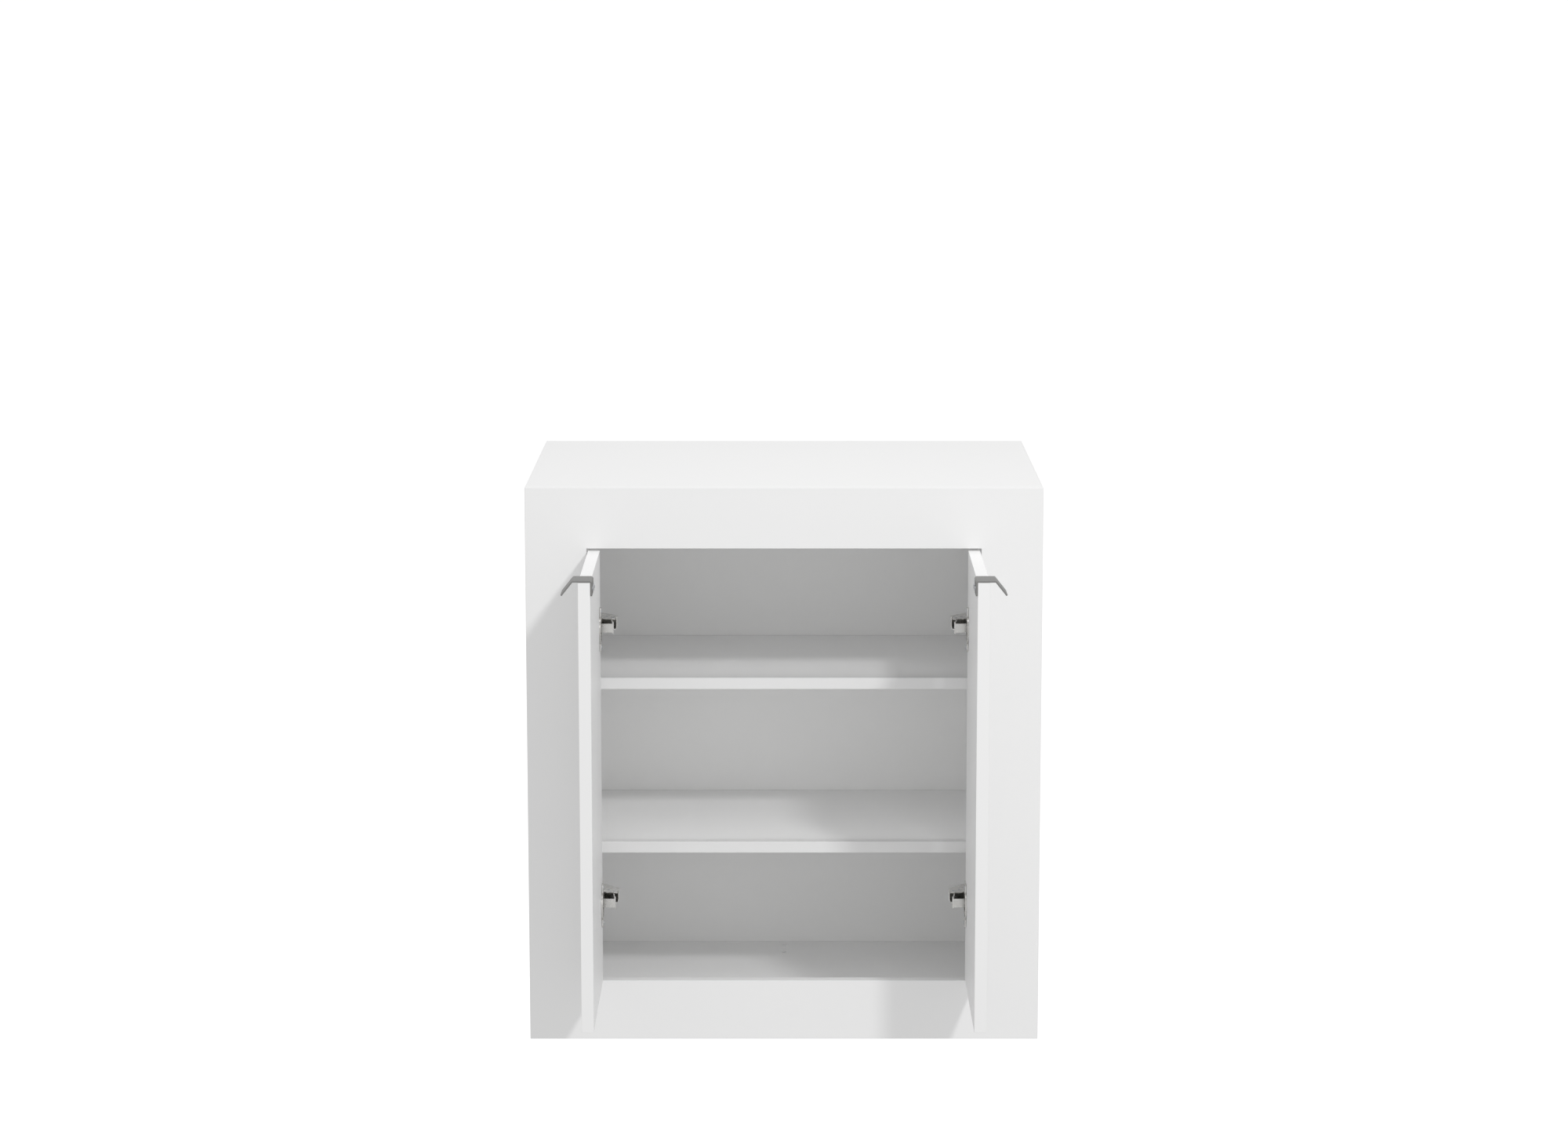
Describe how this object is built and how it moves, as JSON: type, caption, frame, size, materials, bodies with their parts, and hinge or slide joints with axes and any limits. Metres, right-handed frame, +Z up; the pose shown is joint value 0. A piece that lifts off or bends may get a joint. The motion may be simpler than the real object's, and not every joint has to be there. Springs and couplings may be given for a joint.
{
  "type": "hanging wall cabinet",
  "caption": "White hanging wall cabinet with a deep front frame, inset doors on cup hinges, loose shelves and bent-metal edge pulls.",
  "frame": {"origin": "middle of the upper wall rail's rear face, in the wall plane", "axes": "+Y into the wall, +Z up, +X to the right of someone facing the doors"},
  "size_m": [0.7, 0.7516, 0.768],
  "materials": {
    "white_board": "satin white melamine on board",
    "back_board": "white lacquered fibreboard",
    "handle_metal": "satin",
    "nickel_plate": "nickel plated",
    "zinc_plate": "bright zinc plated",
    "white_plastic": "moulded"
  },
  "bodies": {
    "cabinet": {"back_panel": "back_board", "bottom_panel": "white_board", "front_frame": "white_board", "left_hanger_body": "white_plastic", "left_hanger_hook": "zinc_plate", "left_hinge_batten": "white_board", "left_lower_hinge_arm": "nickel_plate", "left_lower_hinge_plate": "nickel_plate", "left_lower_hinge_plate_screw_high": "zinc_plate", "left_lower_hinge_plate_screw_low": "zinc_plate", "left_side_panel": "white_board", "left_upper_hinge_arm": "nickel_plate", "left_upper_hinge_plate": "nickel_plate", "left_upper_hinge_plate_screw_high": "zinc_plate", "left_upper_hinge_plate_screw_low": "zinc_plate", "lower_shelf": "white_board", "lower_shelf_pin_left_back": "zinc_plate", "lower_shelf_pin_left_front": "zinc_plate", "lower_shelf_pin_right_back": "zinc_plate", "lower_shelf_pin_right_front": "zinc_plate", "lower_wall_rail": "white_board", "right_hanger_body": "white_plastic", "right_hanger_hook": "zinc_plate", "right_hinge_batten": "white_board", "right_lower_hinge_arm": "nickel_plate", "right_lower_hinge_plate": "nickel_plate", "right_lower_hinge_plate_screw_high": "zinc_plate", "right_lower_hinge_plate_screw_low": "zinc_plate", "right_side_panel": "white_board", "right_upper_hinge_arm": "nickel_plate", "right_upper_hinge_plate": "nickel_plate", "right_upper_hinge_plate_screw_high": "zinc_plate", "right_upper_hinge_plate_screw_low": "zinc_plate", "top_panel": "white_board", "upper_shelf": "white_board", "upper_shelf_pin_left_back": "zinc_plate", "upper_shelf_pin_left_front": "zinc_plate", "upper_shelf_pin_right_back": "zinc_plate", "upper_shelf_pin_right_front": "zinc_plate", "upper_wall_rail": "white_board"},
    "left_door_leaf": {"left_door": "white_board", "left_handle": "handle_metal", "left_handle_screw_back": "zinc_plate", "left_handle_screw_front": "zinc_plate", "left_lower_hinge_cup": "nickel_plate", "left_lower_hinge_pin": "nickel_plate", "left_upper_hinge_cup": "nickel_plate", "left_upper_hinge_pin": "nickel_plate"},
    "left_lower_hinge_link_body": {"left_lower_hinge_link": "nickel_plate"},
    "left_upper_hinge_link_body": {"left_upper_hinge_link": "nickel_plate"},
    "right_door_leaf": {"right_door": "white_board", "right_handle": "handle_metal", "right_handle_screw_back": "zinc_plate", "right_handle_screw_front": "zinc_plate", "right_lower_hinge_cup": "nickel_plate", "right_lower_hinge_pin": "nickel_plate", "right_upper_hinge_cup": "nickel_plate", "right_upper_hinge_pin": "nickel_plate"},
    "right_lower_hinge_link_body": {"right_lower_hinge_link": "nickel_plate"},
    "right_upper_hinge_link_body": {"right_upper_hinge_link": "nickel_plate"}
  },
  "joints": [
    {"name": "left_door_swing", "type": "hinge", "parent": "cabinet", "child": "left_door_leaf", "pos_m": [-0.2649, -0.488, -0.6263], "axis": [0, 0, 1], "range_deg": [-10, 90]},
    {"name": "left_lower_link_pivot", "type": "hinge", "parent": "left_door_leaf", "child": "left_lower_hinge_link_body", "pos_m": [-0.2554, -0.499, -0.5163], "axis": [0, 0, 1], "range_deg": [-90, 10]},
    {"name": "left_upper_link_pivot", "type": "hinge", "parent": "left_door_leaf", "child": "left_upper_hinge_link_body", "pos_m": [-0.2554, -0.499, -0.1338], "axis": [0, 0, 1], "range_deg": [-90, 10]},
    {"name": "right_door_swing", "type": "hinge", "parent": "cabinet", "child": "right_door_leaf", "pos_m": [0.2649, -0.488, -0.6263], "axis": [0, 0, -1], "range_deg": [-10, 90]},
    {"name": "right_lower_link_pivot", "type": "hinge", "parent": "right_door_leaf", "child": "right_lower_hinge_link_body", "pos_m": [0.2554, -0.499, -0.5163], "axis": [0, 0, -1], "range_deg": [-90, 10]},
    {"name": "right_upper_link_pivot", "type": "hinge", "parent": "right_door_leaf", "child": "right_upper_hinge_link_body", "pos_m": [0.2554, -0.499, -0.1338], "axis": [0, 0, -1], "range_deg": [-90, 10]}
  ],
  "couplings": [
    {"joint": "left_lower_link_pivot", "follows": "left_door_swing", "ratio": -1},
    {"joint": "left_upper_link_pivot", "follows": "left_door_swing", "ratio": -1},
    {"joint": "right_lower_link_pivot", "follows": "right_door_swing", "ratio": -1},
    {"joint": "right_upper_link_pivot", "follows": "right_door_swing", "ratio": -1}
  ]
}
